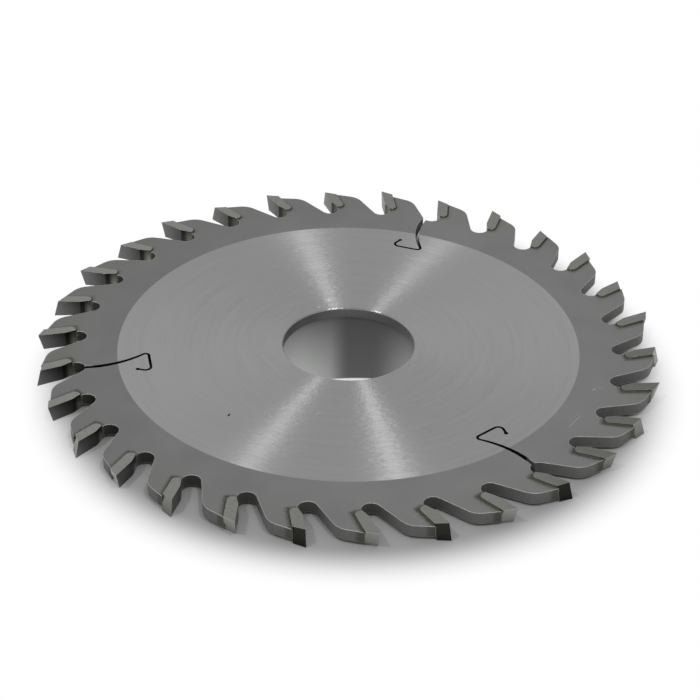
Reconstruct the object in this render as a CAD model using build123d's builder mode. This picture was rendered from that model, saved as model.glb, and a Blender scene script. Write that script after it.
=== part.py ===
from build123d import *
import os
from math import atan2, cos, degrees, radians, sin, tan

# Circular saw blade: a laser-cut steel plate with thirty brazed carbide tips.
# The origin is the centre of the bore, halfway through the plate, and +Z is the bore axis.
# Seen from +Z the teeth lead counter-clockwise, and the first tooth points along -Y.

# Blade
blade_radius = 60.0  # from the bore axis to the long cutting corners
tooth_count = 30
first_tooth_angle = -90.0
hook_angle = 14.6  # the rake face leans forwards from the radius by this much

# Plate
plate_thickness = 2.3
bore_diameter = 25.4
bore_chamfer = 0.2
land_angle = 19.6  # the back of each tooth falls from the tangent by this much
land_step = 0.39  # the plate starts this far below the top of its tip
hump_radius = 3.75
gullet_radius = 1.785
gullet_opening = 21.0  # between the rake face and the back of the tooth in front

# Carbide tips
kerf = 3.3
rake_length = 5.2
heel_length = 2.25
heel_angle = 16.5  # the lower part of the rake face is relieved by this much
tip_thickness = 2.15
tip_corner_radius = 0.9
top_clearance = 17.5
bevel_angle = 15.0  # the tops are bevelled to alternate sides
side_clearance_in = 1.15  # the flanks close in towards the bore
side_clearance_back = 2.5  # and towards the back of the tip
braze_gap = 0.1

# Expansion slots, each cut from the bottom of a gullet
slot_count = 3
first_slot_tooth = 5
slot_kerf = 0.48
slot_mouth_kerf = 0.95  # the run of a slot opens to this width on its way out to the gullet
slot_depth = 12.3  # from the bottom of the gullet to the foot of the slot
slot_bow_radius = 18.5
slot_heel = 2.85  # from the radius through the gullet back to the heel
slot_toe = 3.85  # and forwards to the toe
slot_hook_height = 2.55
slot_hook_lean = 1.1
slot_heel_radius = 0.65
slot_toe_radius = 1.0
slot_end_radius = 0.38
slot_mouths = (-0.35, 1.0, -0.1)  # where each slot leaves its gullet, ahead of the centre
slot_shifts = (0.0, 0.4, -0.4)  # how far the foot of each slot is shifted forwards

pitch_angle = 360 / tooth_count


# Tooth axes: the origin is the long cutting corner, X runs back through the tip square to
# its rake face, Y runs outwards along the rake face and Z is the bore axis.
def tooth_axes(angle):
    corner = Location((blade_radius, 0, 0), (0, 0, hook_angle - 90))
    return Plane(Location((0, 0, 0), (0, 0, angle)) * corner)


# Outline of a tip, in tooth axes
top_fall = tan(radians(hook_angle + top_clearance))
rake_end = (0, -rake_length)
heel_x = heel_length * sin(radians(heel_angle))
tip_floor = -rake_length - heel_length * cos(radians(heel_angle))

# Seat for the tip, a braze gap wider than the tip all round
seat_back = tip_thickness + braze_gap
seat_floor = tip_floor - braze_gap
seat_radius = tip_corner_radius + braze_gap
seat_points = [
    (seat_back, -seat_back * top_fall - land_step),
    (seat_back, seat_floor),
    (heel_x, seat_floor),
]
tip_points = [
    (tip_thickness, -tip_thickness * top_fall - land_step),
    (tip_thickness, tip_floor),
    (heel_x, tip_floor),
]


# One tooth of the plate: down the seat, round the gullet, up the back of the tooth in front,
# over its hump and along its land to the top of the next seat.
first_tooth = tooth_axes(0)
next_tooth = tooth_axes(pitch_angle)
with BuildLine(first_tooth) as seat_line:
    FilletPolyline(*seat_points, radius=seat_radius)

gullet_start = first_tooth.from_local_coords(seat_points[-1])
next_seat_top = next_tooth.from_local_coords(seat_points[0])
land_direction = next_tooth.x_dir.rotate(Axis.Z, -hook_angle - land_angle)
with BuildLine() as tooth_outline:
    add(seat_line.line)
    gullet = JernArc(gullet_start, -first_tooth.y_dir, gullet_radius, gullet_opening - 180)
    back_of_tooth = Axis(gullet @ 1, gullet % 1)
    hump = back_of_tooth.intersect(Axis(next_seat_top, land_direction))
    FilletPolyline(gullet @ 1, hump, next_seat_top, radius=hump_radius)


# Expansion slot: X points outwards, Y forwards and the origin is the centre of the gullet. The
# slot bows down from the gullet, turns along its foot and hooks back up to a round end. Its run
# down from the gullet narrows from the mouth's width to the kerf.
def expansion_slot(mouth, shift):
    foot = -gullet_radius - slot_depth
    heel = (foot, shift - slot_heel)
    toe = (foot, shift + slot_toe)
    end = (foot + slot_hook_height, shift + slot_toe - slot_hook_lean)
    with BuildLine() as path:
        RadiusArc((0, mouth), heel, -slot_bow_radius)
        Polyline(heel, toe, end)
        fillet(path.vertices().sort_by_distance(heel)[0], radius=slot_heel_radius)
        fillet(path.vertices().sort_by_distance(toe)[0], radius=slot_toe_radius)

    run, *hook = path.edges().sort_by_distance((0, mouth))
    run_foot = run.position_at(1)
    half_kerf = run.tangent_at(1).rotate(Axis.Z, -90) * slot_kerf / 2
    with BuildSketch() as slot:
        trace(hook, line_width=slot_kerf)
        with BuildLine():
            ahead = RadiusArc((0, mouth + slot_mouth_kerf / 2), run_foot + half_kerf, -slot_bow_radius)
            behind = RadiusArc((0, mouth - slot_mouth_kerf / 2), run_foot - half_kerf, -slot_bow_radius)
            Line(ahead @ 0, behind @ 0)
            Line(ahead @ 1, behind @ 1)
        make_face()
        with Locations(end):
            Circle(slot_end_radius)
    return slot.sketch


# Plate
gullet_centre = gullet.arc_center
gullet_angle = degrees(atan2(gullet_centre.Y, gullet_centre.X))
first_slot_angle = first_tooth_angle + (first_slot_tooth - 1) * pitch_angle + gullet_angle
slot_places = PolarLocations(gullet_centre.length, slot_count, start_angle=first_slot_angle)
with BuildPart() as blade_body:
    with BuildSketch(Plane.XY.offset(-plate_thickness / 2)):
        with BuildLine():
            with PolarLocations(0, tooth_count, start_angle=first_tooth_angle):
                add(tooth_outline.line)
        make_face()
        for place, mouth, shift in zip(slot_places, slot_mouths, slot_shifts):
            with Locations(place):
                add(expansion_slot(mouth, shift), mode=Mode.SUBTRACT)
    extrude(amount=plate_thickness)
    Hole(radius=bore_diameter / 2)
    chamfer(blade_body.edges(Select.LAST).filter_by(GeomType.CIRCLE), length=bore_chamfer)


# Braze: one thin bent seam between each tip and its seat
with BuildSketch() as seam_outline:
    with BuildLine():
        FilletPolyline(*seat_points, radius=seat_radius)
        FilletPolyline(*tip_points, radius=tip_corner_radius)
        Line(seat_points[0], tip_points[0])
        Line(seat_points[-1], tip_points[-1])
    make_face()

tooth_angles = [first_tooth_angle + number * pitch_angle for number in range(tooth_count)]
with BuildPart() as braze_seams:
    with BuildSketch(*[tooth_axes(angle).offset(-plate_thickness / 2) for angle in tooth_angles]):
        add(seam_outline.sketch)
    extrude(amount=plate_thickness)


# Tips: every second one has its long corner on the upper side
with BuildSketch() as tip_outline:
    with BuildLine():
        Polyline(tip_points[-1], rake_end, (0, 0), (tip_thickness, 0))
        FilletPolyline((tip_thickness, 0), *tip_points[1:], radius=tip_corner_radius)
    make_face()


def carbide_tip(axes, long_side):
    """A tip whose long corner is above the plate for 1 and below it for -1."""
    top_normal = (top_fall, 1, -long_side * tan(radians(bevel_angle)))
    flank_back = tan(radians(side_clearance_back))
    flank_in = -tan(radians(side_clearance_in))
    with BuildPart() as tip:
        with BuildSketch(axes.offset(-kerf / 2)):
            add(tip_outline.sketch)
        extrude(amount=kerf)
        top = Plane(origin=(0, 0, long_side * kerf / 2), z_dir=top_normal)
        split(bisect_by=Plane(axes * top), keep=Keep.BOTTOM)
        for side in (1, -1):
            flank = Plane(origin=(0, 0, side * kerf / 2), z_dir=(flank_back, flank_in, side))
            split(bisect_by=Plane(axes * flank), keep=Keep.BOTTOM)
    return tip


os.makedirs("parts", exist_ok=True)

blade_body.part.label = "blade_body"
export_step(blade_body.part, "parts/blade_body.step")

braze_seams.part.label = "braze_seams"
export_step(braze_seams.part, "parts/braze_seams.step")

for number, angle in enumerate(tooth_angles, start=1):
    tip = carbide_tip(tooth_axes(angle), long_side=1 if number % 2 == 0 else -1)
    tip.part.label = f"tip_{number:02d}"
    export_step(tip.part, f"parts/{tip.part.label}.step")
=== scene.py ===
from math import cos, radians, sin

import bpy
from mathutils import Matrix, Vector


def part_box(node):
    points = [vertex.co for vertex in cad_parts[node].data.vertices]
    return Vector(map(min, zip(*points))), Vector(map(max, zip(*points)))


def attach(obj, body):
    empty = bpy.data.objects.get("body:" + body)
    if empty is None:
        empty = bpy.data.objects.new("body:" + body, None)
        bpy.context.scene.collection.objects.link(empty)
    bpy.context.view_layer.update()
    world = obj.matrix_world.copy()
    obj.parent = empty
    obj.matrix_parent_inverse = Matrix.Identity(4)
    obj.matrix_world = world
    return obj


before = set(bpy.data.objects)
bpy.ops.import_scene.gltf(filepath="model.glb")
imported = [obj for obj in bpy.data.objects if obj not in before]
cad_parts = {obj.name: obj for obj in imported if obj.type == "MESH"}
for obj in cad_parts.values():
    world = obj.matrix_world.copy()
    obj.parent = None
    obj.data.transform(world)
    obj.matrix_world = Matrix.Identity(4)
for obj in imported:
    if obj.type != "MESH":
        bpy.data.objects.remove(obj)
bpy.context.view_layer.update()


# Camera
# The blade is seen from the front, a little to the right of its first tooth and well above it,
# through a long lens held almost level.
view_target = Vector((0.00055, -0.00218, 0.001))
view_distance = 0.40026
view_azimuth = radians(6.383)
view_elevation = radians(33.321)
view_roll = radians(0.776)
view_lens = 107.0
film_width = 36.0

view_right = Vector((cos(view_azimuth), sin(view_azimuth), 0))
view_back = Vector((sin(view_azimuth) * cos(view_elevation),
                    -cos(view_azimuth) * cos(view_elevation),
                    sin(view_elevation)))
view_up = view_back.cross(view_right)
rolled_right = view_right * cos(view_roll) + view_up * sin(view_roll)
rolled_up = view_up * cos(view_roll) - view_right * sin(view_roll)
camera = bpy.data.objects.new("camera", bpy.data.cameras.new("camera"))
camera.data.lens = view_lens
camera.data.sensor_width = film_width
camera.matrix_world = Matrix.Translation(view_target + view_back * view_distance) @ Matrix(
    (rolled_right, rolled_up, view_back)).transposed().to_4x4()
bpy.context.scene.collection.objects.link(camera)
bpy.context.scene.camera = camera
bpy.context.scene.view_settings.view_transform = "Standard"


# Room
# The walls of the room brighten a little towards the ceiling, and the far wall is a little
# brighter than the rest, most of all at its left end.
horizon_light = 0.50
ceiling_light = 0.62
ceiling_rise = 0.9  # a direction that rises by this share of its length meets the full ceiling
bright_way = (-0.5, 0.85, 0.0)
bright_turn = 0.7  # and one that points this much of the bright way meets the full far wall
dim_share = 0.86
bright_share = 1.18


def add_node(tree, kind, inputs=None, **settings):
    """Add a shader node; an input is given a value or the output that feeds it."""
    node = tree.nodes.new(kind)
    for name, value in settings.items():
        setattr(node, name, value)
    for name, value in (inputs or {}).items():
        if isinstance(value, bpy.types.NodeSocket):
            tree.links.new(value, node.inputs[name])
        else:
            node.inputs[name].default_value = value
    return node


def calculate(tree, operation, *values):
    """One Math node over numbers or outputs."""
    return add_node(tree, "ShaderNodeMath", dict(enumerate(values)), operation=operation).outputs[0]


def multiply(tree, *values):
    """The product of numbers or outputs, from the first to the last."""
    product, *others = values
    for value in others:
        product = calculate(tree, "MULTIPLY", product, value)
    return product


def combine(tree, operation, *vectors, **scale):
    """One Vector Math node; it gives a number for a length, a distance or a dot product."""
    node = add_node(tree, "ShaderNodeVectorMath", {**dict(enumerate(vectors)), **scale}, operation=operation)
    gives_number = operation in ("LENGTH", "DISTANCE", "DOT_PRODUCT")
    return node.outputs["Value" if gives_number else "Vector"]


def split(tree, vector):
    """The X, Y and Z of a vector."""
    return add_node(tree, "ShaderNodeSeparateXYZ", {0: vector}).outputs


def ramp(tree, value, low, high, start=0.0, end=1.0, smooth=False):
    """Take a value from between low and high to between start and end, and hold it there."""
    span = {"Value": value, "From Min": low, "From Max": high, "To Min": start, "To Max": end}
    kind = "SMOOTHSTEP" if smooth else "LINEAR"
    return add_node(tree, "ShaderNodeMapRange", span, interpolation_type=kind).outputs[0]


room = bpy.data.worlds.new("room")
bpy.context.scene.world = room
room.use_nodes = True
air = room.node_tree
looking = add_node(air, "ShaderNodeTexCoord").outputs["Generated"]
level = ramp(air, split(air, looking)["Z"], 0.0, ceiling_rise, horizon_light, ceiling_light)
facing_way = combine(air, "DOT_PRODUCT", looking, bright_way)
level = multiply(air, level, ramp(air, facing_way, 0.0, bright_turn, dim_share, bright_share))
air.links.new(level, air.nodes["Background"].inputs["Strength"])
air.nodes["Background"].inputs["Color"].default_value = (1, 1, 1, 1)


# Lamps
# Two small soft lamps hang over the blade, one to each side. Each of them draws one bright line
# through the bore, square to the grinding marks.
lamp_width = 0.025
lamp_places = {"right_lamp": (0.299, -0.208, 1.13), "left_lamp": (-0.549, -0.303, 1.02)}
lamp_power = {"right_lamp": 1.9, "left_lamp": 1.85}

for name, place in lamp_places.items():
    lamp = bpy.data.objects.new(name, bpy.data.lights.new(name, "AREA"))
    lamp.data.shape = "DISK"
    lamp.data.size = lamp_width
    lamp.data.energy = lamp_power[name]
    lamp.location = place
    lamp.rotation_euler = Vector(place).to_track_quat("Z", "Y").to_euler()
    bpy.context.scene.collection.objects.link(lamp)


# Table
# A white table top. A painted shade greys it under the blade and a little way in front of it,
# where the blade keeps the light off it. Painted shade greys the table seen through the bore,
# unevenly from left to right and darker towards the back, and a soft painted spot of light lies
# at the front rim of the bore.
table_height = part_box("tip_01")[0].z
table_size = 4.0
table_white = (0.82, 0.82, 0.82)
table_shade = (0.42, 0.42, 0.42)
shade_centre = (0.002, -0.007, 0)
shade_edge = (0.052, 0.064)  # the shade ends between these distances
bore_radius = 0.0127
painted_edge = (1.7 * bore_radius, 1.8 * bore_radius)  # the bore's greys end here, under the steel
bore_edge_grey = (0.40, 0.41, 0.40)
bore_left_grey = (0.28, 0.285, 0.28)
bore_left_far_grey = (0.107, 0.107, 0.107)
bore_middle_grey = (0.100, 0.100, 0.100)
bore_middle_far_grey = (0.069, 0.069, 0.069)
bore_right_grey = (0.31, 0.31, 0.31)
left_border = (-0.0085, -0.002)  # where one grey runs into the next, from left to right
middle_border = (-0.0042, 0.0002)
right_border = (0.0045, 0.0125)
far_border = (-0.008, 0.012)  # and from front to back
painted_bore_glow = 0.7
painted_spot_white = (0.80, 0.80, 0.80)
spot_width = 0.013
spot_depth = 0.0049
spot_shift = 0.0006
spot_lean = 0.05
spot_edge = (0.92, 1.0)
rim_fade = (0.0095, 0.0130)  # the spot fades between these distances from the bore's axis
rim_light = 0.2


def blend(tree, share, first, second):
    """Mix two colours; they go into a Mix node's sockets 6 and 7 and come out of its socket 2."""
    mix = add_node(tree, "ShaderNodeMix", data_type="RGBA")
    for socket, value in ((mix.inputs["Factor"], share), (mix.inputs[6], first), (mix.inputs[7], second)):
        if isinstance(value, bpy.types.NodeSocket):
            tree.links.new(value, socket)
        elif socket.type == "RGBA":
            socket.default_value = (*value, 1)
        else:
            socket.default_value = value
    return mix.outputs[2]


def hypotenuse(tree, first, second):
    """The long side over two short ones."""
    return calculate(tree, "SQRT", calculate(tree, "ADD", calculate(tree, "POWER", first, 2.0),
                                             calculate(tree, "POWER", second, 2.0)))


def new_material(name):
    """Start a material that has no nodes yet."""
    material = bpy.data.materials.new(name)
    material.use_nodes = True
    material.node_tree.nodes.clear()
    return material, material.node_tree


bpy.ops.object.select_all(action="DESELECT")
bpy.ops.mesh.primitive_plane_add(size=table_size, location=(0, 0, table_height))
table = bpy.context.object
table.name = "table"
bpy.ops.object.transform_apply(location=True)

paint, top = new_material("white table")
on_table = combine(top, "MULTIPLY", add_node(top, "ShaderNodeTexCoord").outputs["Object"], (1, 1, 0))
across = combine(top, "DOT_PRODUCT", on_table, view_right)
from_bore = combine(top, "LENGTH", on_table)
lit = ramp(top, combine(top, "DISTANCE", on_table, shade_centre), *shade_edge, smooth=True)
in_bore = ramp(top, from_bore, *painted_edge, 1.0, 0.0)
to_middle = ramp(top, across, *middle_border, smooth=True)
to_right = ramp(top, across, *right_border, smooth=True)
to_far = ramp(top, split(top, on_table)["Y"], *far_border)
painted_bore_grey = blend(top, ramp(top, across, *left_border), bore_edge_grey, bore_left_grey)
painted_bore_grey = blend(top, to_far, painted_bore_grey, bore_left_far_grey)
middle_grey = blend(top, to_far, bore_middle_grey, bore_middle_far_grey)
painted_bore_grey = blend(top, to_middle, painted_bore_grey, middle_grey)
painted_bore_grey = blend(top, to_right, painted_bore_grey, blend(top, to_far, bore_right_grey, middle_grey))

# The painted spot of light is an ellipse whose middle lies under the front rim.
inwards_way = (-view_right.y - spot_lean * view_right.x, view_right.x - spot_lean * view_right.y, 0)
inwards = combine(top, "DOT_PRODUCT", on_table, inwards_way)
spot_across = calculate(top, "DIVIDE", calculate(top, "SUBTRACT", across, spot_shift), spot_width)
spot_inwards = calculate(top, "DIVIDE", calculate(top, "ADD", inwards, bore_radius), spot_depth)
painted_light_spot = ramp(top, hypotenuse(top, spot_across, spot_inwards), *spot_edge, 1.0, 0.0)
painted_light_spot = multiply(top, painted_light_spot, ramp(top, from_bore, *rim_fade, 1.0, rim_light, smooth=True))
painted_bore_grey = blend(top, painted_light_spot, painted_bore_grey, painted_spot_white)

# To the eye and in the blade's reflections the table glows an even white outside its painted
# shade, and the painted greys in the bore glow a little as well, as painted light.
table_colour = blend(top, lit, table_shade, table_white)
table_colour = blend(top, in_bore, table_colour, painted_bore_grey)
shade = add_node(top, "ShaderNodeBsdfDiffuse", {"Color": table_colour})
glow = add_node(top, "ShaderNodeEmission", {"Color": (1, 1, 1, 1), "Strength": 1.0})
ray = add_node(top, "ShaderNodeLightPath")
seen = calculate(top, "ADD", ray.outputs["Is Camera Ray"], ray.outputs["Is Glossy Ray"])
seen = calculate(top, "ADD", seen, ray.outputs["Is Transmission Ray"])
seen = calculate(top, "MINIMUM", seen, 1.0)
shown = add_node(top, "ShaderNodeMixShader", {
    0: multiply(top, seen, lit), 1: shade.outputs[0], 2: glow.outputs[0]})
painted_bore_light = add_node(top, "ShaderNodeEmission", {"Color": painted_bore_grey, "Strength": 1.0})
shown = add_node(top, "ShaderNodeMixShader", {
    0: multiply(top, seen, in_bore, painted_bore_glow), 1: shown.outputs[0], 2: painted_bore_light.outputs[0]})
add_node(top, "ShaderNodeOutputMaterial", {"Surface": shown.outputs[0]})
table.data.materials.append(paint)


# Blade body
# One plate of hardened tool steel. Its outline and slots are cut by laser, its faces are ground
# flat on a turning table, and the zone round the bore is ground again to a brighter finish.
# The materials of the blade measure in millimetres, but their bevels and bumps in metres.
per_metre = 1000.0  # millimetres
blade_radius = 60.0
tooth_count = 30
pitch = radians(360 / tooth_count)
first_tooth = radians(-90)
behind_tooth = radians(10)  # a tooth takes in this much of the rim behind its cutting corner
hook = radians(14.6)
noise_span = (0.3, 0.7)


def new_group(name, inputs, outputs):
    """Start a shader node group whose inputs and outputs are numbers with these names."""
    tree = bpy.data.node_groups.new(name, "ShaderNodeTree")
    for in_out, labels in (("INPUT", inputs), ("OUTPUT", outputs)):
        for label in labels:
            tree.interface.new_socket(label, in_out=in_out, socket_type="NodeSocketFloat")
    return tree, add_node(tree, "NodeGroupInput").outputs, add_node(tree, "NodeGroupOutput").inputs


def use_group(tree, group, **inputs):
    """Place a node group in a material, with its own values."""
    return add_node(tree, "ShaderNodeGroup", inputs, node_tree=group).outputs


def noise(tree, place, scale, detail):
    """An uneven grain between 0 and 1, most of it in the noise span."""
    inputs = {"Vector": place, "Scale": scale, "Detail": detail}
    return add_node(tree, "ShaderNodeTexNoise", inputs).outputs["Fac"]


# Where on a tooth a point lies: Back is how far it is behind the rake face and Out how far it is
# out along it, both from the cutting corner. Number counts the teeth from 0.
back_way = (sin(hook), -cos(hook), 0)
out_way = (cos(hook), sin(hook), 0)
tooth_place, given, result = new_group(
    "tooth place", [], ["Back", "Out", "Number", "Facing back", "Facing out", "Radius"])
here = add_node(tooth_place, "ShaderNodeTexCoord").outputs
place = combine(tooth_place, "SCALE", here["Object"], Scale=per_metre)
level_parts = split(tooth_place, place)
turned = calculate(tooth_place, "ARCTAN2", level_parts["Y"], level_parts["X"])
turned = calculate(tooth_place, "ADD", turned, behind_tooth - first_tooth)
number = calculate(tooth_place, "FLOOR", calculate(tooth_place, "DIVIDE", turned, pitch))
turn_back = multiply(tooth_place, number, -pitch)
turn_back = calculate(tooth_place, "SUBTRACT", turn_back, first_tooth)
turn = {"Axis": (0, 0, 1), "Angle": turn_back}
place = add_node(tooth_place, "ShaderNodeVectorRotate", {"Vector": place, **turn}).outputs[0]
place = combine(tooth_place, "SUBTRACT", place, (blade_radius, 0, 0))
facing = add_node(tooth_place, "ShaderNodeVectorRotate", {"Vector": here["Normal"], **turn}).outputs[0]
for label, vector, way in (("Back", place, back_way), ("Out", place, out_way),
                           ("Facing back", facing, back_way), ("Facing out", facing, out_way)):
    tooth_place.links.new(combine(tooth_place, "DOT_PRODUCT", vector, way), result[label])
tooth_place.links.new(number, result["Number"])
level_place = combine(tooth_place, "MULTIPLY", here["Object"], (per_metre, per_metre, 0))
tooth_place.links.new(combine(tooth_place, "LENGTH", level_place), result["Radius"])

# Marks that a grinding wheel leaves round the bore while the blade turns under it.
grinding_marks, given, result = new_group("grinding marks", ["Lines", "Breaks", "Detail"], ["Mark"])
place = combine(grinding_marks, "MULTIPLY", add_node(grinding_marks, "ShaderNodeTexCoord").outputs["Object"],
                (per_metre, per_metre, 0))
rings = multiply(grinding_marks, combine(grinding_marks, "LENGTH", place), given["Lines"])
way = combine(grinding_marks, "SCALE", combine(grinding_marks, "NORMALIZE", place), Scale=given["Breaks"])
way = split(grinding_marks, way)
lined = {"X": way["X"], "Y": way["Y"], "Z": rings}
lined = add_node(grinding_marks, "ShaderNodeCombineXYZ", lined).outputs[0]
grinding_marks.links.new(noise(grinding_marks, lined, scale=1.0, detail=given["Detail"]), result["Mark"])

# Every part of the plate's material starts from these.
mark_share = 0.5  # the fine marks and the broad ones are equally strong
plate_steel, steel = new_material("ground plate steel")
coordinates = add_node(steel, "ShaderNodeTexCoord").outputs
millimetres = combine(steel, "SCALE", coordinates["Object"], Scale=per_metre)
spread = split(steel, millimetres)
tooth = use_group(steel, tooth_place)
radius = tooth["Radius"]
cloud = noise(steel, millimetres, scale=0.09, detail=4.0)
speckle = noise(steel, millimetres, scale=2.6, detail=3.0)
fine_marks = use_group(steel, grinding_marks, Lines=7.0, Breaks=5.0, Detail=3.0)["Mark"]
broad_marks = use_group(steel, grinding_marks, Lines=1.1, Breaks=1.5, Detail=3.0)["Mark"]
marks = calculate(steel, "ADD", multiply(steel, fine_marks, mark_share),
                  multiply(steel, broad_marks, mark_share))

# A wall has a slope of 0 and a face has a slope of 1. The laser leaves a thin burr between them,
# and a painted highlight lightens it.
edge_radius = 0.00022
face_slopes = (0.55, 0.95)
burr_start = (0.15, 0.45)
burr_end = (0.8, 0.98)
ground_radius = 44.45
ground_border = (ground_radius - 0.1, ground_radius + 0.1)
gullet_foot = 49.0  # no part of a gullet is nearer to the bore than this
burr_border = (gullet_foot, gullet_foot + 0.5)
slot_border = (gullet_foot - 0.4, gullet_foot - 0.2)
bore_border = (13.0, 14.0)
past_bore = (14.0, 15.0)
slot_slopes = (0.4, 0.5)
soft_edge = add_node(steel, "ShaderNodeBevel", {"Radius": edge_radius}, samples=6).outputs[0]
slope = calculate(steel, "ABSOLUTE", split(steel, soft_edge)["Z"])
flat = ramp(steel, slope, *face_slopes)
burr_and_highlight = multiply(steel, ramp(steel, slope, *burr_start), ramp(steel, slope, *burr_end, 1.0, 0.0),
                ramp(steel, radius, *burr_border))
outside = ramp(steel, radius, *ground_border)
near_bore = ramp(steel, radius, *bore_border, 1.0, 0.0)
in_slot = multiply(steel, ramp(steel, radius, *slot_border, 1.0, 0.0), ramp(steel, radius, *past_bore))
true_slope = calculate(steel, "ABSOLUTE", split(steel, coordinates["Normal"])["Z"])
# The walls inside the slots take a painted shade.
slot_painted_shade = multiply(steel, in_slot, ramp(steel, true_slope, *slot_slopes, 1.0, 0.0))
outside_slot_shade = calculate(steel, "SUBTRACT", 1.0, slot_painted_shade)

# The hub is a very even grey. The band round it is patchy, darker on the left, and stained
# olive here and there towards the rim.
hub_grey = (0.455, 0.455, 0.46)
hub_shares = (0.985, 1.015)
band_grey = (0.268, 0.269, 0.267)
band_shares = (0.90, 1.10)
patch_shares = (0.7, 0.3)  # of the clouds and of the speckle
band_from_left = (-40.0, 20.0)
band_tilt = 0.12
olive_stain = (0.20, 0.195, 0.155)
olive_border = (49.0, 56.0)
olive_clouds = (0.45, 0.68)
olive_strength = 0.5
hub_dark, hub_light = (tuple(share * grey for grey in hub_grey) for share in hub_shares)
band_dark, band_light = (tuple(share * grey for grey in band_grey) for share in band_shares)
hub_colour = blend(steel, ramp(steel, marks, *noise_span), hub_dark, hub_light)
patches = calculate(steel, "ADD", multiply(steel, cloud, patch_shares[0]),
                    multiply(steel, speckle, patch_shares[1]))
patches = calculate(steel, "ADD", patches, ramp(steel, spread["X"], *band_from_left, -band_tilt, band_tilt))
band_colour = blend(steel, ramp(steel, patches, *noise_span), band_dark, band_light)
olive = multiply(steel, ramp(steel, radius, *olive_border, smooth=True), ramp(steel, cloud, *olive_clouds),
                 olive_strength)
band_colour = blend(steel, olive, band_colour, olive_stain)
face_colour = blend(steel, outside, hub_colour, band_colour)

# The laser leaves the walls dull, and the backs of the teeth are a plain grey. Painted shade darkens
# the gullets towards their feet: they are dark on the left and at the back of the blade, paler at
# the front and palest on the right. All walls are faintly lined from face to face and specked with
# rust, most of all towards the back.
wall_grey = (0.19, 0.19, 0.186)
gullet_painted_dark = (0.012, 0.012, 0.010)
gullet_painted_front = (0.105, 0.105, 0.100)
gullet_painted_pale = (0.185, 0.185, 0.182)
rust_brown = (0.040, 0.030, 0.020)
front_from_left = (-45.0, 0.0)
front_to_back = (-30.0, -5.0)
pale_from_left = (22.0, 48.0)
wall_border = (gullet_foot + 1.5, 56.0)
wall_line_ways = (5.0, 5.0, 0.5)  # across the wall the lines are ten times as close
wall_line_span = (0.35, 0.75)
wall_line_strength = 0.3
rust_specks = (0.58, 0.72)
rust_from_front = (-45.0, -20.0)
rust_strength = (0.15, 0.5)
gullet_painted_shade = blend(steel, ramp(steel, spread["X"], *front_from_left), gullet_painted_dark, gullet_painted_front)
gullet_painted_shade = blend(steel, ramp(steel, spread["Y"], *front_to_back, 1.0, 0.0), gullet_painted_dark, gullet_painted_shade)
gullet_painted_shade = blend(steel, ramp(steel, spread["X"], *pale_from_left, smooth=True), gullet_painted_shade, gullet_painted_pale)
wall_colour = blend(steel, ramp(steel, radius, *wall_border, smooth=True), gullet_painted_shade, wall_grey)
wall_lines = noise(steel, combine(steel, "MULTIPLY", millimetres, wall_line_ways), scale=1.0, detail=2.0)
wall_lines = ramp(steel, wall_lines, *wall_line_span, 0.0, wall_line_strength)
wall_colour = blend(steel, wall_lines, wall_colour, gullet_painted_shade)
rusty = multiply(steel, ramp(steel, speckle, *rust_specks),
                 ramp(steel, spread["Y"], *rust_from_front, *rust_strength))
wall_colour = blend(steel, rusty, wall_colour, rust_brown)

# The wall of the bore is turned bright. Painted light makes it brightest in the middle, and painted
# shade darkens it towards its left end and a little towards its right end.
bore_wall_painted_shade = (0.20, 0.20, 0.20)
bore_wall_painted_light = (0.95, 0.95, 0.95)
bore_first_rise = (-12.7, -10.0, 0.0, 0.27)  # from and to these places, from and to these shares
bore_second_rise = (-8.5, -2.5, 0.0, 0.73)
bore_fall = (0.0, 8.0, 1.0, 0.7)
bore_clouds = (0.35, 0.65, 0.9, 1.0)
bore_wall_painted_share = calculate(steel, "ADD", ramp(steel, spread["X"], *bore_first_rise),
                       ramp(steel, spread["X"], *bore_second_rise))
bore_wall_painted_share = multiply(steel, bore_wall_painted_share, ramp(steel, spread["X"], *bore_fall),
                      ramp(steel, cloud, *bore_clouds))
bore_wall = blend(steel, bore_wall_painted_share, bore_wall_painted_shade, bore_wall_painted_light)
wall_colour = blend(steel, near_bore, wall_colour, bore_wall)

# Solder and the heat of the torch stain the faces along the back and the foot of each seat, and
# the same dark band is also a painted shade beside each tip, strongest at the front of the blade.
seat_middle = (1.45, -3.7)  # the middle of a tip's seat, back from the rake face and out along it
seat_reach = (0.80, 3.76)  # and how far it reaches from there
stain_and_shade_width = 1.05
stain_waver = 0.3  # the stain's edge wanders in and out by this much
stain_and_shade_from_front = (-20.0, 25.0)
stain_and_shade_strength = (0.9, 0.2)
heat_stain_and_shade = (0.075, 0.073, 0.062)
past_back, past_foot = (
    calculate(steel, "MAXIMUM", 0.0, calculate(steel, "SUBTRACT", calculate(
        steel, "ABSOLUTE", calculate(steel, "SUBTRACT", tooth[way], middle)), reach))
    for way, middle, reach in zip(("Back", "Out"), seat_middle, seat_reach))
from_seat = hypotenuse(steel, past_back, past_foot)
uneven = calculate(steel, "ADD", from_seat, ramp(steel, speckle, *noise_span, -stain_waver, stain_waver))
stained_and_shaded = multiply(steel, ramp(steel, uneven, 0.0, stain_and_shade_width, 1.0, 0.0, smooth=True),
                   ramp(steel, spread["Y"], *stain_and_shade_from_front, *stain_and_shade_strength))
face_colour = blend(steel, stained_and_shaded, face_colour, heat_stain_and_shade)

# On the right some solder has also been wiped over the plate behind the tips.
solder_wiped = (0.25, 0.245, 0.19)
smear_width = (0.3, 1.5)
smear_from_foot = (-4.5, -2.5)
smear_clouds = (0.35, 0.5)
smear_from_left = (20.0, 40.0)
smear_strength = (0.2, 0.8)
smeared = multiply(steel, ramp(steel, from_seat, *smear_width, 1.0, 0.0, smooth=True),
                   ramp(steel, tooth["Out"], *smear_from_foot), ramp(steel, cloud, *smear_clouds),
                   ramp(steel, spread["X"], *smear_from_left, *smear_strength))
face_colour = blend(steel, smeared, face_colour, solder_wiped)

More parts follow.
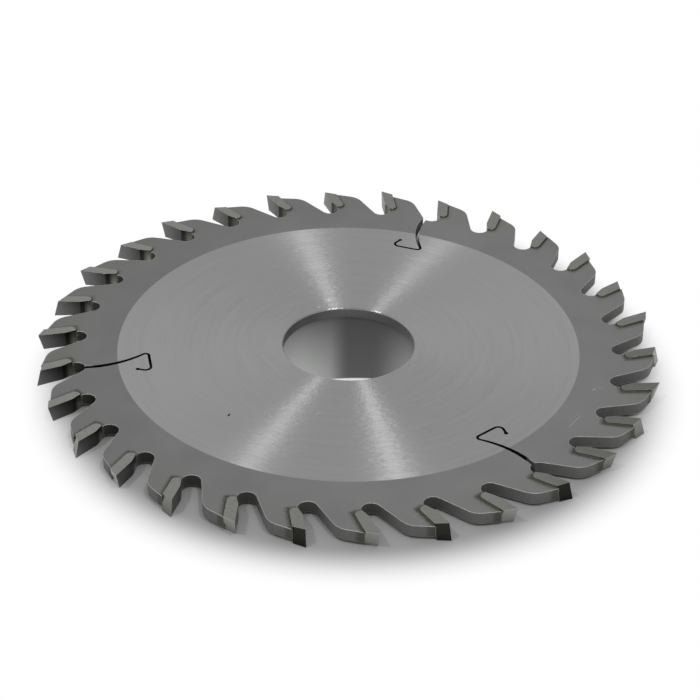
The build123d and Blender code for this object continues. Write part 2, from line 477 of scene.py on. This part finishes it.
# On the walls a film of solder lies in front of each seat, and burnt solder and rust behind it.
solder_film = (0.17, 0.162, 0.125)
solder_olive = (0.055, 0.053, 0.040)
seat_back = (2.0, 2.3)
film_reaches = (0.35, 1.6)  # in front of a seat and behind it
film_edge = (0.4, 1.0)
film_strength = 0.7
rust_width = (0.5, 3.5)
seat_specks = (0.48, 0.6)
seat_rust_strength = (0.15, 0.6)
film_colour = blend(steel, ramp(steel, tooth["Back"], *seat_back), solder_film, solder_olive)
mottled = multiply(steel, ramp(steel, from_seat, *rust_width, 1.0, 0.0), ramp(steel, speckle, *seat_specks),
                   ramp(steel, spread["Y"], *rust_from_front, *seat_rust_strength))
wall_colour = blend(steel, mottled, wall_colour, rust_brown)
film_reach = ramp(steel, tooth["Back"], *seat_back, *film_reaches)
film = calculate(steel, "DIVIDE", uneven, film_reach)
film = ramp(steel, film, *film_edge, film_strength, 0.0, smooth=True)
wall_colour = blend(steel, film, wall_colour, film_colour)

# A dark speck and a few fine scratches on the upper face.
speck_black = (0.02, 0.02, 0.02)
scratch_white = (0.85, 0.85, 0.85)
blemishes = (  # colour, strength, width, and the two ends
    (speck_black, 1.0, 0.28, (-18.90, -27.15), (-18.80, -26.75)),
    (scratch_white, 0.16, 0.16, (45.09, -18.60), (43.19, -22.37)),
    (scratch_white, 0.12, 0.14, (44.60, -17.90), (44.05, -19.10)),
    (scratch_white, 0.30, 0.24, (47.30, -9.75), (47.65, -9.40)),
    (scratch_white, 0.10, 0.18, (48.20, -9.10), (48.80, -8.70)),
    (scratch_white, 0.65, 0.30, (-7.45, 12.20), (-7.30, 12.15)),
    (scratch_white, 0.75, 0.26, (-5.95, 15.10), (-5.50, 15.00)),
    (scratch_white, 0.30, 0.22, (-3.10, -24.60), (-2.40, -23.90)),
)
core_share = 0.3  # a mark keeps its full strength over this much of its width
face_heights = (1.0, 1.1)
upper_face = ramp(steel, spread["Z"], *face_heights)
level_place = combine(steel, "MULTIPLY", millimetres, (1, 1, 0))
for colour, strength, width, start, end in blemishes:
    start, end = Vector((*start, 0)), Vector((*end, 0))
    way = end - start
    reached = combine(steel, "DOT_PRODUCT", combine(steel, "SUBTRACT", level_place, start), way)
    reached = ramp(steel, reached, 0.0, way.length_squared)
    nearest = combine(steel, "ADD", combine(steel, "SCALE", way, Scale=reached), start)
    off = combine(steel, "DISTANCE", level_place, nearest)
    mark = ramp(steel, off, core_share * width, width, strength, 0.0, smooth=True)
    mark = multiply(steel, mark, upper_face)
    face_colour = blend(steel, mark, face_colour, colour)
    hub_colour = blend(steel, mark, hub_colour, colour)

# The band and the walls have a dull skin, and the hub has a skin that is brushed in rings. The
# slots are painted black and dull inside, a painted shade in their narrow gaps.
bright_edge_highlight = (0.74, 0.74, 0.73)
slot_painted_black = (0.004, 0.004, 0.004)
ringed_slopes = (0.9, 0.99)
chamfer_slopes = (0.4, 0.55)  # the chamfer of the bore has rings too
band_roughness = (0.50, 0.60)
bore_polish = 0.2
ring_span = (0.35, 0.65)
hub_roughness = (0.30, 0.39)
colour = blend(steel, flat, wall_colour, face_colour)
# The burr's bright colour is a painted highlight on the edge.
colour = blend(steel, burr_and_highlight, colour, bright_edge_highlight)
colour = blend(steel, slot_painted_shade, colour, slot_painted_black)
metal = calculate(steel, "MAXIMUM", calculate(steel, "MAXIMUM", flat, burr_and_highlight), near_bore)
metal = multiply(steel, metal, outside_slot_shade)
grain_bump = add_node(steel, "ShaderNodeBump", {
    "Strength": 0.3, "Distance": 0.00003, "Height": speckle, "Normal": soft_edge}).outputs[0]
dullness = calculate(steel, "SUBTRACT", ramp(steel, speckle, *noise_span, *band_roughness),
                     multiply(steel, near_bore, bore_polish))
band_face = add_node(steel, "ShaderNodeBsdfPrincipled", {
    "Base Color": colour, "Metallic": metal, "Roughness": dullness, "Normal": grain_bump,
    "Specular IOR Level": 0.25})
ripple = use_group(steel, grinding_marks, Lines=1.8, Breaks=16.0, Detail=2.0)["Mark"]
marks_bump = add_node(steel, "ShaderNodeBump", {
    "Strength": 0.26, "Distance": 0.0002, "Height": ripple, "Normal": soft_edge}).outputs[0]
around = add_node(steel, "ShaderNodeTangent", direction_type="RADIAL", axis="Z").outputs[0]
hub_face = add_node(steel, "ShaderNodeBsdfPrincipled", {
    "Base Color": hub_colour, "Metallic": 1.0, "Roughness": ramp(steel, marks, *ring_span, *hub_roughness),
    "Normal": marks_bump, "Anisotropic": 1.0, "Anisotropic Rotation": 0.25, "Tangent": around})
ringed = calculate(steel, "MAXIMUM", ramp(steel, slope, *ringed_slopes),
                   multiply(steel, near_bore, ramp(steel, slope, *chamfer_slopes)))
on_hub = multiply(steel, calculate(steel, "SUBTRACT", 1.0, outside), ringed, outside_slot_shade)
plate_skin = add_node(steel, "ShaderNodeMixShader", {
    0: on_hub, 1: band_face.outputs[0], 2: hub_face.outputs[0]})
add_node(steel, "ShaderNodeOutputMaterial", {"Surface": plate_skin.outputs[0]})
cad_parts["blade_body"].material_slots[0].material = plate_steel


# Tips
# Thirty pieces of sintered tungsten carbide, brazed into their seats and then ground all over.
# Painted shade makes their rake faces the darkest, and their tops are bevelled to alternate sides.
rake_length = 5.2
tip_foot = 7.45  # the lower end of a tip, along its rake face

ground_carbide, carbide = new_material("ground carbide")
coordinates = add_node(carbide, "ShaderNodeTexCoord").outputs
millimetres = combine(carbide, "SCALE", coordinates["Object"], Scale=per_metre)
spread = split(carbide, millimetres)
tooth = use_group(carbide, tooth_place)
grains = noise(carbide, millimetres, scale=1.3, detail=4.0)

# Painted shade darkens each rake face towards its heel, and painted light brightens each heel
# towards its foot, but less so at the back of the blade. Painted light makes the rake faces at the
# front the lightest.
rake_grey = (0.16, 0.16, 0.158)
rake_heel_shade_share = 0.4
heel_painted_shade = (0.030, 0.030, 0.027)
heel_painted_light = (0.30, 0.295, 0.255)
heel_painted_glow = (rake_length + 0.7, tip_foot - 0.6)
heel_edge = (rake_length, rake_length + 0.05)
heels_from_front = (25.0, 42.0)
back_heel_share = 0.3
front_rakes = (-38.0, -15.0, 1.25, 0.75)  # from and to these places, from and to these shares
back_rakes = (-10.0, 10.0, 1.0, 1.33)
down_rake = multiply(carbide, tooth["Out"], -1.0)
rake_heel_shade_grey = tuple(rake_heel_shade_share * grey for grey in rake_grey)
rake_colour = blend(carbide, ramp(carbide, down_rake, 0.0, rake_length), rake_grey, rake_heel_shade_grey)
heel_painted_share = multiply(carbide, ramp(carbide, down_rake, *heel_painted_glow),
                      ramp(carbide, spread["Y"], *heels_from_front, 1.0, back_heel_share))
heel_colour = blend(carbide, heel_painted_share, heel_painted_shade, heel_painted_light)
rake_colour = blend(carbide, ramp(carbide, down_rake, *heel_edge), rake_colour, heel_colour)
rake_painted_light = multiply(carbide, ramp(carbide, spread["Y"], *front_rakes),
                      ramp(carbide, spread["Y"], *back_rakes))
rake_colour = combine(carbide, "SCALE", rake_colour, Scale=rake_painted_light)

# The tops of the tips with their long corner below face up. A dark painted reflection makes the three
# of them at the front black, and painted shade makes those on the left darker than the rest. Of the
# other tops the front ones carry a painted reflection of the white table.
top_light = (0.30, 0.30, 0.28)
top_painted_shine = (0.54, 0.54, 0.51)
top_left_shaded = (0.23, 0.23, 0.215)
top_painted_black = (0.030, 0.030, 0.026)
black_tooth = 2.0  # the middle one of the black tops
black_reach = 2.5
level_border = (-0.05, 0.05)
tops_from_left = (-20.0, -5.0)
shine_from_left = (48.0, 58.0)
shine_from_front = (-15.0, 0.0)
facing_up = split(carbide, coordinates["Normal"])["Z"]
top_up = ramp(carbide, facing_up, *level_border)
from_black = calculate(carbide, "ABSOLUTE", calculate(carbide, "SUBTRACT", tooth["Number"], black_tooth))
black = multiply(carbide, calculate(carbide, "LESS_THAN", from_black, black_reach), top_up)
top_lifted = blend(carbide, ramp(carbide, spread["X"], *tops_from_left), top_left_shaded, top_light)
painted_shine = multiply(carbide, ramp(carbide, spread["X"], *shine_from_left, 1.0, 0.0),
                 ramp(carbide, spread["Y"], *shine_from_front, 1.0, 0.0))
top_lowered = blend(carbide, painted_shine, top_light, top_painted_shine)
top_colour = blend(carbide, black, blend(carbide, top_up, top_lowered, top_lifted), top_painted_black)

# The flanks are a little stained, and the backs more so, where a painted shade darkens them as
# well. Painted shade darkens all of them at the right of the blade's front half, and painted light
# brightens them a little on the left.
flank_grey = (0.275, 0.275, 0.261)
back_olive_and_shade = (0.075, 0.072, 0.056)
stained_grains = (0.45, 0.75)
stained_share = 0.4
back_facing = (0.3, 0.6)
top_facing = (0.5, 0.7)
rake_facing = (-0.9, -0.8)
back_foot = (-2.1, -1.9)  # below this the back of a tip has been in the solder
shade_to_right = (30.0, 48.0)
shade_to_back = (0.0, 20.0)
shaded_tip_share = 0.7
lit_on_left = (-45.0, -5.0)
lit_tip_share = 1.17
side_stain = ramp(carbide, grains, *stained_grains, 0.0, stained_share)
side_colour = blend(carbide, side_stain, flank_grey, olive_stain)
back_stain_and_shade = multiply(carbide, ramp(carbide, tooth["Facing back"], *back_facing),
                   ramp(carbide, tooth["Out"], *back_foot, 1.0, 0.0))
side_colour = blend(carbide, back_stain_and_shade, side_colour, back_olive_and_shade)
tip_colour = blend(carbide, ramp(carbide, tooth["Facing out"], *top_facing), side_colour, top_colour)
painted_light_share = calculate(
    carbide, "MAXIMUM", ramp(carbide, spread["X"], *shade_to_right, 1.0, shaded_tip_share, smooth=True),
    ramp(carbide, spread["Y"], *shade_to_back, shaded_tip_share, 1.0))
painted_light_share = multiply(carbide, painted_light_share,
                      ramp(carbide, spread["X"], *lit_on_left, lit_tip_share, 1.0))
tip_colour = combine(carbide, "SCALE", tip_colour, Scale=painted_light_share)
on_rake = ramp(carbide, tooth["Facing back"], *rake_facing, 1.0, 0.0)
tip_colour = blend(carbide, on_rake, tip_colour, rake_colour)

# The ground edges are a little worn, and a painted highlight lightens them.
worn_edge_highlight = (0.60, 0.60, 0.57)
worn_radius = 0.00009
worn_turn = (0.80, 0.97)
worn_strength = 0.7
tip_roughness = (0.28, 0.4)
tip_edge = add_node(carbide, "ShaderNodeBevel", {"Radius": worn_radius}, samples=6).outputs[0]
worn_and_highlight = combine(carbide, "DOT_PRODUCT", tip_edge, coordinates["Normal"])
worn_and_highlight = ramp(carbide, worn_and_highlight, *worn_turn, worn_strength, 0.0)
tip_colour = blend(carbide, worn_and_highlight, tip_colour, worn_edge_highlight)
tip_skin = add_node(carbide, "ShaderNodeBsdfPrincipled", {
    "Base Color": tip_colour, "Metallic": 1.0, "Normal": tip_edge,
    "Roughness": ramp(carbide, grains, *noise_span, *tip_roughness)})
add_node(carbide, "ShaderNodeOutputMaterial", {"Surface": tip_skin.outputs[0]})
for name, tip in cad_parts.items():
    if name.startswith("tip_"):
        tip.material_slots[0].material = ground_carbide


# Braze
# Silver solder holds each tip in its seat. A thin seam of it fills the seat, and what ran out of
# the seam lies as a small uneven fillet in the corner between the tip and each face of the plate.
solder_pale = (0.27, 0.26, 0.205)
solder_brown = (0.085, 0.079, 0.058)
tip_back = 0.00215
tip_corner = 0.0009
tip_floor = -0.00736
heel_start = 0.00064
plate_face = 0.00115
fillet_start = -0.0021
fillet_width = 0.00036
fillet_height = 0.00024
fillet_bite = 0.00004  # how far a fillet reaches into the steel and the carbide
rim_radius = 0.060
burnt_depth = (plate_face - fillet_bite, plate_face - fillet_bite / 2)
burnt_lumps = (0.35, 0.5)
burnt_strength = (1.0, 0.85)
solder_roughness = (0.55, 0.75)

silver_solder, solder = new_material("silver solder")
coordinates = add_node(solder, "ShaderNodeTexCoord").outputs
lumps = noise(solder, coordinates["Object"], scale=1500.0, detail=3.0)
off_middle = calculate(solder, "ABSOLUTE", split(solder, coordinates["Object"])["Z"])
burnt = multiply(solder, ramp(solder, off_middle, *burnt_depth),
                 ramp(solder, lumps, *burnt_lumps, *burnt_strength))
solder_colour = blend(solder, burnt, solder_pale, solder_brown)
solder_bump = add_node(solder, "ShaderNodeBump", {"Strength": 0.5, "Distance": 0.00005, "Height": lumps})
solder_skin = add_node(solder, "ShaderNodeBsdfPrincipled", {
    "Base Color": solder_colour, "Metallic": 1.0, "Normal": solder_bump.outputs[0],
    "Roughness": ramp(solder, lumps, *noise_span, *solder_roughness)})
add_node(solder, "ShaderNodeOutputMaterial", {"Surface": solder_skin.outputs[0]})
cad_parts["braze_seams"].material_slots[0].material = silver_solder

# One fillet, in the axes of a tooth: X runs back from the rake face and Y out along it. Its
# cross-section is drawn down the back of the tip, round the corner and along the foot.
back_steps = 6
corner_steps = 5
foot_steps = 2
back_run = fillet_start - tip_floor - tip_corner
foot_run = tip_back - tip_corner - heel_start
bpy.ops.object.select_all(action="DESELECT")
bpy.ops.mesh.primitive_plane_add(size=1, rotation=(radians(90), 0, 0))
fillet = bpy.context.object
bpy.ops.object.transform_apply(rotation=True)
bpy.ops.object.mode_set(mode="EDIT")
bpy.ops.transform.resize(value=(fillet_width + fillet_bite, 1, fillet_height + fillet_bite))
bpy.ops.transform.translate(value=(tip_back + (fillet_width - fillet_bite) / 2, fillet_start,
                                   plate_face + (fillet_height - fillet_bite) / 2))
for step in range(back_steps):
    bpy.ops.mesh.extrude_region_move(TRANSFORM_OT_translate={"value": (0, -back_run / back_steps, 0)})
bpy.ops.mesh.spin(steps=corner_steps, angle=radians(90), axis=(0, 0, 1),
                  center=(tip_back - tip_corner, tip_floor + tip_corner, plate_face))
for step in range(foot_steps):
    bpy.ops.mesh.extrude_region_move(TRANSFORM_OT_translate={"value": (-foot_run / foot_steps, 0, 0)})
bpy.ops.mesh.select_all(action="SELECT")
bpy.ops.mesh.normals_make_consistent()
bpy.ops.mesh.select_all(action="DESELECT")
bpy.ops.mesh.select_mode(type="EDGE")
bpy.ops.object.mode_set(mode="OBJECT")

# Its outer upper edge is cut away to a hollow, and its ends run out low and narrow.
crown = plate_face + fillet_height
halfway_out = fillet_width / 2
hollow_percent = 88
hollow_steps = 3
hollow_profile = 0.14
end_width = 0.5
end_height = 0.4


def outside_tip(spot):
    """How far a point is from the outline of the tip."""
    turn_x, turn_y = tip_back - tip_corner, tip_floor + tip_corner
    if spot.y > turn_y:
        return spot.x - tip_back
    if spot.x < turn_x:
        return tip_floor - spot.y
    return Vector((spot.x - turn_x, spot.y - turn_y)).length - tip_corner


def on_brink(spot):
    """Whether a point is on the outer upper edge of the fillet."""
    return spot.z > crown - fillet_bite and outside_tip(spot) > halfway_out


corners = fillet.data.vertices
for edge in fillet.data.edges:
    first, second = (corners[corner].co for corner in edge.vertices)
    edge.select = on_brink(first) and on_brink(second)
bpy.ops.object.mode_set(mode="EDIT")
bpy.ops.mesh.bevel(offset_type="PERCENT", offset_pct=hollow_percent, segments=hollow_steps,
                   profile=hollow_profile, affect="EDGES")
bpy.ops.mesh.select_mode(type="VERT")
for end in ("start", "heel"):
    bpy.ops.mesh.select_all(action="DESELECT")
    bpy.ops.object.mode_set(mode="OBJECT")
    for corner in fillet.data.vertices:
        corner.select = (corner.co.y > fillet_start - fillet_bite if end == "start"
                         else corner.co.x < heel_start + fillet_bite)
    bpy.ops.object.mode_set(mode="EDIT")
    if end == "start":
        bpy.ops.transform.resize(value=(end_width, 1, end_height),
                                 center_override=(tip_back, fillet_start, plate_face))
    else:
        bpy.ops.transform.resize(value=(1, end_width, end_height),
                                 center_override=(heel_start, tip_floor, plate_face))
bpy.ops.object.mode_set(mode="OBJECT")
underside = fillet.modifiers.new("underside", "MIRROR")
underside.use_axis = (False, False, True)
bpy.ops.object.modifier_apply(modifier="underside")
finer = fillet.modifiers.new("finer", "SUBSURF")
finer.subdivision_type = "SIMPLE"
finer.levels = finer.render_levels = 1
bpy.ops.object.modifier_apply(modifier="finer")
bpy.ops.object.shade_smooth_by_angle(angle=radians(50))

# Thirty copies, each in its own place and each with its own lumps.
lump_size = 0.0007
lump_height = 0.00010
solder_lumps = bpy.data.textures.new("solder lumps", "CLOUDS")
solder_lumps.noise_scale = lump_size
tooth_frame = Matrix((Vector(back_way), Vector(out_way), (0, 0, 1))).transposed().to_4x4()
tooth_frame.translation = (rim_radius, 0, 0)
for number in range(tooth_count):
    solder_fillet = fillet.copy()
    solder_fillet.data = fillet.data.copy()
    solder_fillet.name = solder_fillet.data.name = f"solder_{number + 1:02d}"
    bpy.context.scene.collection.objects.link(solder_fillet)
    solder_fillet.data.transform(Matrix.Rotation(first_tooth + number * pitch, 4, "Z") @ tooth_frame)
    uneven_run = solder_fillet.modifiers.new("lumps", "DISPLACE")
    uneven_run.texture = solder_lumps
    uneven_run.texture_coords = "GLOBAL"
    uneven_run.strength = lump_height
    bpy.context.view_layer.objects.active = solder_fillet
    bpy.ops.object.modifier_apply(modifier="lumps")
    solder_fillet.data.materials.clear()
    solder_fillet.data.materials.append(silver_solder)
    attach(solder_fillet, "root")
bpy.data.objects.remove(fillet)
